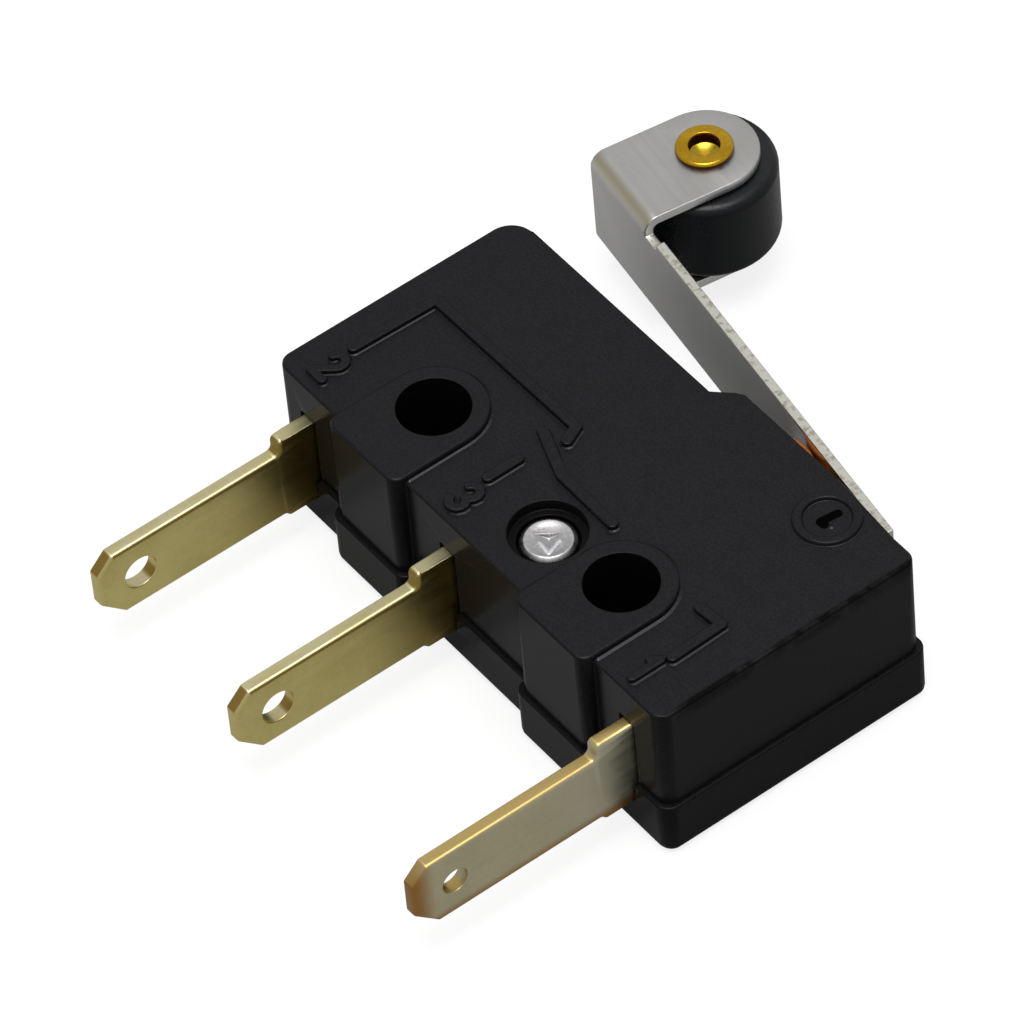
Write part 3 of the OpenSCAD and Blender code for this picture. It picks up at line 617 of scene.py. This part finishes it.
def shapeCase(form):
    # The ring stands a little prouder on the dressed case, and is broader inwards.
    x, y, front = size["ringX"] * mm, size["ringY"] * mm, size["frontZ"] * mm
    for vert in form.verts:
        if near(vert.co / mm, size["ringX"], size["ringY"], 1) and vert.co.z > front - 0.01 * mm:
            vert.co.x += (x - vert.co.x) * touch["ringInwards"]
            vert.co.y += (y - vert.co.y) * touch["ringInwards"]
        if near(vert.co / mm, size["ringX"], size["ringY"], 1.3) and vert.co.z > front + 0.03 * mm:
            vert.co.z += touch["ringRise"] * mm


def shapeRivet(form):
    # A sharper set mark, and a head that is a little higher and wider.
    x, y, top = size["rivetX"], size["rivetY"], size["rivetTop"]
    point = Vector((x, y, top)) + Vector(touch["setMark"])
    sinkMark(form, x, y, 0.5, top - 0.25, top - 0.2, point)
    for vert in form.verts:
        if vert.co.z > (top - touch["headHeight"]) * mm:
            vert.co.z += touch["headRise"] * mm
            vert.co.x += (vert.co.x - x * mm) * touch["headSpread"]
            vert.co.y += (vert.co.y - y * mm) * touch["headSpread"]


def shapePin(form):
    # The hollow in the front head ends in a drilled cone.
    x, y, floor = size["pinX"], size["pinY"], size["punchZ"]
    sinkMark(form, x, y, 0.45, floor - 0.05, floor + 0.2, (x, y, floor - touch["coneSink"]))


def shapeCommon(form):
    # Solder has closed this eye a little.
    y, z = size["eyeY"], size["eyeZ"]
    for vert in form.verts:
        if math.hypot(vert.co.y / mm - y, vert.co.z / mm - z) < 0.65:
            vert.co.y += (y * mm - vert.co.y) * touch["eyeClosing"]
            vert.co.z += (z * mm - vert.co.z) * touch["eyeClosing"]


def plain(width):
    return [(width, lambda at: True)]


dress("case", caseRules, 4, shapeCase)
dress("cover", coverRules, 4)
dress("terminal_closed", terminalRules(size["closedX"]), 4)
dress("terminal_open", terminalRules(size["openX"]), 4)
dress("terminal_common", terminalRules(size["commonX"]), 4, shapeCommon)
dress("closing_rivet", plain(0.03), 3, shapeRivet)
dress("roller_pin", plain(0.03), 3, shapePin)
dress("roller", plain(0.13), 4)
dress("plunger", plain(0.08))
for node, cad in nodes.items():
    cad.data.materials.clear()
    cad.data.materials.append(finishes[slotOf[node]])
print("nodes dressed")


# The lever as a folded sheet, in mm from its hinge pin, with x along the arm.
sheet = {"pivot": (7.5, 7.1, 3.2), "thick": 0.33, "under": 0.98, "half": 1.65, "inner": -0.3,
         "waist": 1.4, "farWaist": 1.5, "waistLen": 0.7, "edge": 0.045,
         "foldR": 0.54, "foldSteps": 8, "forkHalf": 2.05, "reach": 17.15, "pinV": 4.21, "pinHole": 0.65,
         "tabR": 1.78, "tabSteps": 24, "columns": 8,
         "earHole": 0.48, "earR": 0.75, "earFront": 0.3, "earTop": 1.145, "earHalf": 0.84, "earSteps": 28}
leverFrame = (Matrix.Translation(Vector(sheet["pivot"]) * mm)
              @ Matrix.Rotation(math.radians(-size["leverRise"]), 4, "Z") @ Matrix.Diagonal((mm, mm, mm, 1)))


def arc(x, y, radius, start, end, steps):
    turns = [math.radians(start + (end - start) * step / steps) for step in range(steps + 1)]
    return [Vector((x + radius * math.cos(turn), y + radius * math.sin(turn), 0)) for turn in turns]


def holedPlate(form, outline, centre, hole, level):
    # A flat plate with a round hole: each point of the outline has a partner on the hole.
    loops = []
    for ring in (outline, [centre + (point - centre).normalized() * hole for point in outline]):
        corners = [form.verts.new((point.x, point.y, level)) for point in ring]
        loops.append([form.edges.new((corners[i - 1], corners[i])) for i in range(len(corners))])
    bmesh.ops.bridge_loops(form, edges=loops[0] + loops[1])


def forkSection():
    # Middle of the sheet across the fork, as points of the plane v, w.
    low = sheet["under"] + sheet["thick"] / 2
    bend = sheet["foldR"] - sheet["thick"] / 2
    flat = sheet["forkHalf"] - sheet["foldR"]
    right = arc(low + bend, flat, bend, 90, 180, sheet["foldSteps"])
    waists = [Vector((low, sheet["waist"], 0)), Vector((low, -sheet["farWaist"], 0))]
    return right + waists + [Vector((point.x, -point.y, 0)) for point in right[::-1]]


def growRow(form, row, step):
    # Extrudes a row of edges along the sheet and gives back the new row.
    grown = bmesh.ops.extrude_edge_only(form, edges=row)["geom"]
    corners = [part for part in grown if isinstance(part, bmesh.types.BMVert)]
    bmesh.ops.translate(form, verts=corners, vec=(step, 0, 0))
    return [part for part in grown if isinstance(part, bmesh.types.BMEdge)
            and abs(part.verts[0].co.x - part.verts[1].co.x) < 0.001]


def addFork(form):
    first = sheet["reach"] + sheet["tabR"]
    across = 2 * sheet["tabR"] / sheet["columns"]
    corners = [form.verts.new((-first, point.x, point.y)) for point in forkSection()]
    row = [form.edges.new((corners[i], corners[i + 1])) for i in range(len(corners) - 1)]
    for column in range(sheet["columns"]):
        row = growRow(form, row, across)
    foldTop = sheet["under"] + sheet["foldR"]
    straight = sheet["pinV"] - foldTop
    centre = Vector((-sheet["reach"], sheet["pinV"], 0))
    outline = arc(centre.x, centre.y, sheet["tabR"], 0, 180, sheet["tabSteps"])
    outline += [Vector((-first, foldTop + straight * share, 0)) for share in (0.6, 0.3)]
    outline += [Vector((-first + across * column, foldTop, 0)) for column in range(sheet["columns"] + 1)]
    outline += [Vector((-first + 2 * sheet["tabR"], foldTop + straight * share, 0)) for share in (0.3, 0.6)]
    for side in (-1, 1):
        holedPlate(form, outline, centre, sheet["pinHole"], side * (sheet["forkHalf"] - sheet["thick"] / 2))
    bmesh.ops.remove_doubles(form, verts=form.verts, dist=0.002)
    return [edge for edge in row if edge.is_valid and all(
        -sheet["farWaist"] - 0.001 < vert.co.z < sheet["waist"] + 0.001 for vert in edge.verts)]


def addArm(form, row):
    # The near edge steps out to full width after a notch, the far edge right from the fork.
    forkEnd = sheet["tabR"] - sheet["reach"]
    start = forkEnd + sheet["waistLen"]
    for end in (start, sheet["inner"]):
        row = growRow(form, row, end - row[0].verts[0].co.x)
    for waist, side, first in ((sheet["waist"], 1, start), (-sheet["farWaist"], -1, forkEnd)):
        rim = [edge for edge in form.edges if edge.is_boundary and all(
            vert.co.x > first - 0.001 and abs(vert.co.z - waist) < 0.001 for vert in edge.verts)]
        grown = bmesh.ops.extrude_edge_only(form, edges=rim)["geom"]
        corners = [part for part in grown if isinstance(part, bmesh.types.BMVert)]
        bmesh.ops.translate(form, verts=corners, vec=(0, 0, side * sheet["half"] - waist))


def addEars(form):
    # Round below the hinge pin and square where the ear joins the sheet.
    outline = arc(0, 0, sheet["earR"], 180, 426, sheet["earSteps"])
    outline += [Vector((sheet["earFront"], sheet["earTop"], 0)), Vector((-sheet["earR"], sheet["earTop"], 0))]
    for side in (-1, 1):
        holedPlate(form, outline, Vector((0, 0, 0)), sheet["earHole"], side * sheet["earHalf"])


def addLever():
    form = bmesh.new()
    addArm(form, addFork(form))
    addEars(form)
    bmesh.ops.recalc_face_normals(form, faces=form.faces)
    form.transform(leverFrame)
    piece = addPiece("leverSheet", finishForm(form, "leverSheet"), bodyOf["lever"], slotOf["lever"], "lever")
    thick = piece.modifiers.new("sheetThickness", "SOLIDIFY")
    thick.thickness = sheet["thick"] * mm
    thick.offset = 0
    thick.use_even_offset = True
    addBevel(piece, sheet["edge"] * mm, 3, "ANGLE")


addLever()
print("lever made")


# Cast relief in mm. Each profile is a stack of hulls; a hull is made of rings given as radius and height.
relief = {
    "sides": 24, "step": 0.0006, "digitHeight": 1.1, "padSteps": 24, "padBelow": 0.15,
    "line": [[(0.27, -0.01), (0.2, 0.03)], [(0.2, 0), (0.195, 0.13), (0.18, 0.17), (0.15, 0.185)]],
    "digit": [[(0.22, -0.01), (0.16, 0.03)], [(0.16, 0), (0.155, 0.12), (0.135, 0.155), (0.1, 0.165)]],
    "foot": [[(0.11, -0.01), (0.02, 0.03)]],
    "lip": [[(0.09, -0.03), (0.07, 0.012), (0.02, 0.03)]],
    "slot": [[(0.15, -0.01), (0.15, 0.012)]]}
circuit = {
    "closedLine": [(-8.46, -0.36), (-8.38, 2.84), (-1.26, 2.9), (-0.99, 2.33)],
    "openLine": [(-1.39, 0.73), (-1.39, -0.45)],
    "movingLine": [(-1.82, 2.01), (0.04, 1.33), (2.62, 1.3)],
    "commonLine": [(8.04, -0.61), (7.98, 1.32), (7.05, 1.24)]}
digitPlaces = {2: (-8.33, -1.36), 3: (-1.22, -1.48), 1: (7.9, -1.49)}
rivetMark = [(1.4, -0.62), (1.94, -0.68), (1.74, -0.12)]
ringMark = [[(6.62, 6.26), (6.7, 6.86)], [(6.64, 6.24), (6.79, 6.25)]]
ringGlint = [(6.97, 6.34), (7, 6.36)]


def addStroke(form, start, end, rings, level):
    # One straight stroke with round ends: the hull of the rings at its two ends.
    corners = []
    for spot in (start, end):
        for radius, height in rings:
            made = bmesh.ops.create_circle(form, segments=relief["sides"], radius=radius,
                                           matrix=Matrix.Translation((spot[0], spot[1], level + height)))
            corners += made["verts"]
    hull = bmesh.ops.convex_hull(form, input=corners)
    inside = hull["geom_interior"] + hull["geom_unused"]
    spare = {item for item in inside if isinstance(item, bmesh.types.BMVert)}
    bmesh.ops.delete(form, geom=list(spare), context="VERTS")


def addRelief(name, strokes, profile, node="case", level=size["frontZ"]):
    # Every stroke stands a hair higher than the last, so no two flat tops share a plane.
    form = bmesh.new()
    for line in strokes:
        for start, end in zip(line, line[1:]):
            level += relief["step"]
            for rings in relief[profile]:
                addStroke(form, start, end, rings, level)
    bmesh.ops.delete(form, geom=[edge for edge in form.edges if not edge.link_faces], context="EDGES")
    bmesh.ops.recalc_face_normals(form, faces=form.faces)
    form.transform(Matrix.Scale(mm, 4))
    return addPiece(name, finishForm(form, name, False), bodyOf[node], slotOf[node])


def flatArc(x, y, radius, start, end, steps):
    return [(point.x, point.y) for point in arc(x, y, radius, start, end, steps)]


def digitStrokes(digit):
    x, y = digitPlaces[digit]
    tall = relief["digitHeight"]
    radius = tall * 0.26
    if digit == 1:
        strokes = [[(-radius * 0.7, tall * 0.28), (0, tall / 2), (0, -tall / 2)]]
    elif digit == 2:
        bow = flatArc(0, tall / 2 - radius, radius, 170, -40, 8)
        strokes = [bow + [(-radius, -tall / 2), (radius * 1.1, -tall / 2)]]
    else:
        strokes = [flatArc(0, tall / 4, tall / 4, 160, -80, 8), flatArc(0, -tall / 4, tall / 4, 80, -160, 8)]
    return [[(x + across, y + up) for across, up in line] for line in strokes]


def padFoot(side):
    # Outline of one pad, where it meets the front face.
    middle, radius = side * size["holeX"], size["padR"]
    low = size["wallY"] + relief["padBelow"]
    bow = flatArc(middle, 0, radius, 0, 180, relief["padSteps"])
    return [(middle + radius, low)] + bow + [(middle - radius, low)]


addRelief("circuitLines", circuit.values(), "line")
addRelief("circuitDigits", [line for digit in digitPlaces for line in digitStrokes(digit)], "digit")
addRelief("padFeet", [padFoot(side) for side in (-1, 1)], "foot")
# The lip beside the rivet's set mark takes a near-white copy of the rivet metal, brighter than the rivet: a
# painted highlight on its slopes.
rivetLip = addRelief("rivetLip", [rivetMark], "lip", "closing_rivet", size["rivetTop"] + 0.02)
rivetLip.data.materials[0] = finishes["lip_painted_highlight"]
addRelief("cavityGlint", [ringGlint], "foot")
# Painted shade: a thin near-black piece laid on the face where the cavity mark is sunk.
cavityMarkShade = addRelief("cavityMarkShade", ringMark, "slot")
cavityMarkShade.data.materials[0] = finishes["painted_recess_shade"]
print("relief made")


# Camera: angles in degrees, distance in metres, lens and sensor in mm.
shot = {"azimuth": 56.85, "elevation": 48.31, "roll": -5.63, "distance": 273.1 * mm, "lens": 308.2,
        "sensor": 36, "nearest": 10 * mm, "farthest": 10, "target": Vector((-2.23, 0.86, 3.0)) * mm}


def cameraAxes(azimuth, elevation, roll):
    across, rise = math.radians(azimuth), math.radians(elevation)
    away = Vector((math.cos(rise) * math.sin(across), -math.cos(rise) * math.cos(across), math.sin(rise)))
    right = (-away).cross(Vector((0, 0, 1))).normalized()
    up = right.cross(-away)
    turn = math.radians(roll)
    rolledRight = right * math.cos(turn) + up * math.sin(turn)
    rolledUp = up * math.cos(turn) - right * math.sin(turn)
    return away, rolledRight, rolledUp


def addCamera():
    away, right, up = cameraAxes(shot["azimuth"], shot["elevation"], shot["roll"])
    lens = bpy.data.cameras.new("camera")
    lens.lens = shot["lens"]
    lens.sensor_width = shot["sensor"]
    lens.clip_start = shot["nearest"]
    lens.clip_end = shot["farthest"]
    camera = bpy.data.objects.new("camera", lens)
    bpy.context.scene.collection.objects.link(camera)
    axes = Matrix((right, up, away)).transposed().to_4x4()
    camera.matrix_world = Matrix.Translation(shot["target"] + away * shot["distance"]) @ axes
    bpy.context.scene.camera = camera


studio = {"floorSize": 3, "floorGrey": 0.5, "seenGrey": 0.3, "whiteShare": 0.8, "worldLevel": 0.45,
          "keyPower": 1.5, "keySize": 0.35, "keyDistance": 0.55, "keyAzimuth": 57, "keyElevation": 82}


def addFloor():
    # The camera sees the floor as white with the soft shadow; the switch is lit by a plain grey one.
    form = bmesh.new()
    bmesh.ops.create_grid(form, x_segments=1, y_segments=1, size=studio["floorSize"] / 2)
    mesh = bpy.data.meshes.new("floor")
    form.to_mesh(mesh)
    form.free()
    floor = bpy.data.objects.new("floor", mesh)
    bpy.context.scene.collection.objects.link(floor)
    material = bpy.data.materials.new("floorWhite")
    material.use_nodes = True
    tree = material.node_tree
    tree.nodes.clear()
    rays = newNode(tree, "ShaderNodeLightPath")
    plain = newNode(tree, "ShaderNodeBsdfDiffuse")
    plain.inputs["Color"].default_value = (studio["floorGrey"],) * 3 + (1,)
    seen = newNode(tree, "ShaderNodeBsdfDiffuse")
    seen.inputs["Color"].default_value = (studio["seenGrey"],) * 3 + (1,)
    glow = newNode(tree, "ShaderNodeEmission")
    glow.inputs["Strength"].default_value = studio["whiteShare"]
    both = newNode(tree, "ShaderNodeAddShader")
    mix = newNode(tree, "ShaderNodeMixShader")
    out = newNode(tree, "ShaderNodeOutputMaterial")
    tree.links.new(seen.outputs[0], both.inputs[0])
    tree.links.new(glow.outputs[0], both.inputs[1])
    tree.links.new(rays.outputs["Is Camera Ray"], mix.inputs[0])
    tree.links.new(plain.outputs[0], mix.inputs[1])
    tree.links.new(both.outputs[0], mix.inputs[2])
    tree.links.new(mix.outputs[0], out.inputs["Surface"])
    mesh.materials.append(material)


def addLight():
    world = bpy.data.worlds.new("studio")
    bpy.context.scene.world = world
    world.use_nodes = True
    tree = world.node_tree
    tree.nodes.clear()
    rays = newNode(tree, "ShaderNodeLightPath")
    room = newNode(tree, "ShaderNodeBackground")
    room.inputs["Strength"].default_value = studio["worldLevel"]
    white = newNode(tree, "ShaderNodeBackground")
    mix = newNode(tree, "ShaderNodeMixShader")
    out = newNode(tree, "ShaderNodeOutputWorld")
    white.inputs["Color"].default_value = (1, 1, 1, 1)
    room.inputs["Color"].default_value = (1, 1, 1, 1)
    tree.links.new(rays.outputs["Is Camera Ray"], mix.inputs[0])
    tree.links.new(room.outputs[0], mix.inputs[1])
    tree.links.new(white.outputs[0], mix.inputs[2])
    tree.links.new(mix.outputs[0], out.inputs["Surface"])
    away, right, up = cameraAxes(studio["keyAzimuth"], studio["keyElevation"], 0)
    lamp = bpy.data.lights.new("key", "AREA")
    lamp.shape = "DISK"
    lamp.size = studio["keySize"]
    lamp.energy = studio["keyPower"]
    key = bpy.data.objects.new("key", lamp)
    bpy.context.scene.collection.objects.link(key)
    axes = Matrix((right, up, away)).transposed().to_4x4()
    key.matrix_world = Matrix.Translation(away * studio["keyDistance"]) @ axes
    key.visible_camera = False


addCamera()
addFloor()
addLight()
bpy.context.scene.view_settings.view_transform = "Standard"
print("stage set")
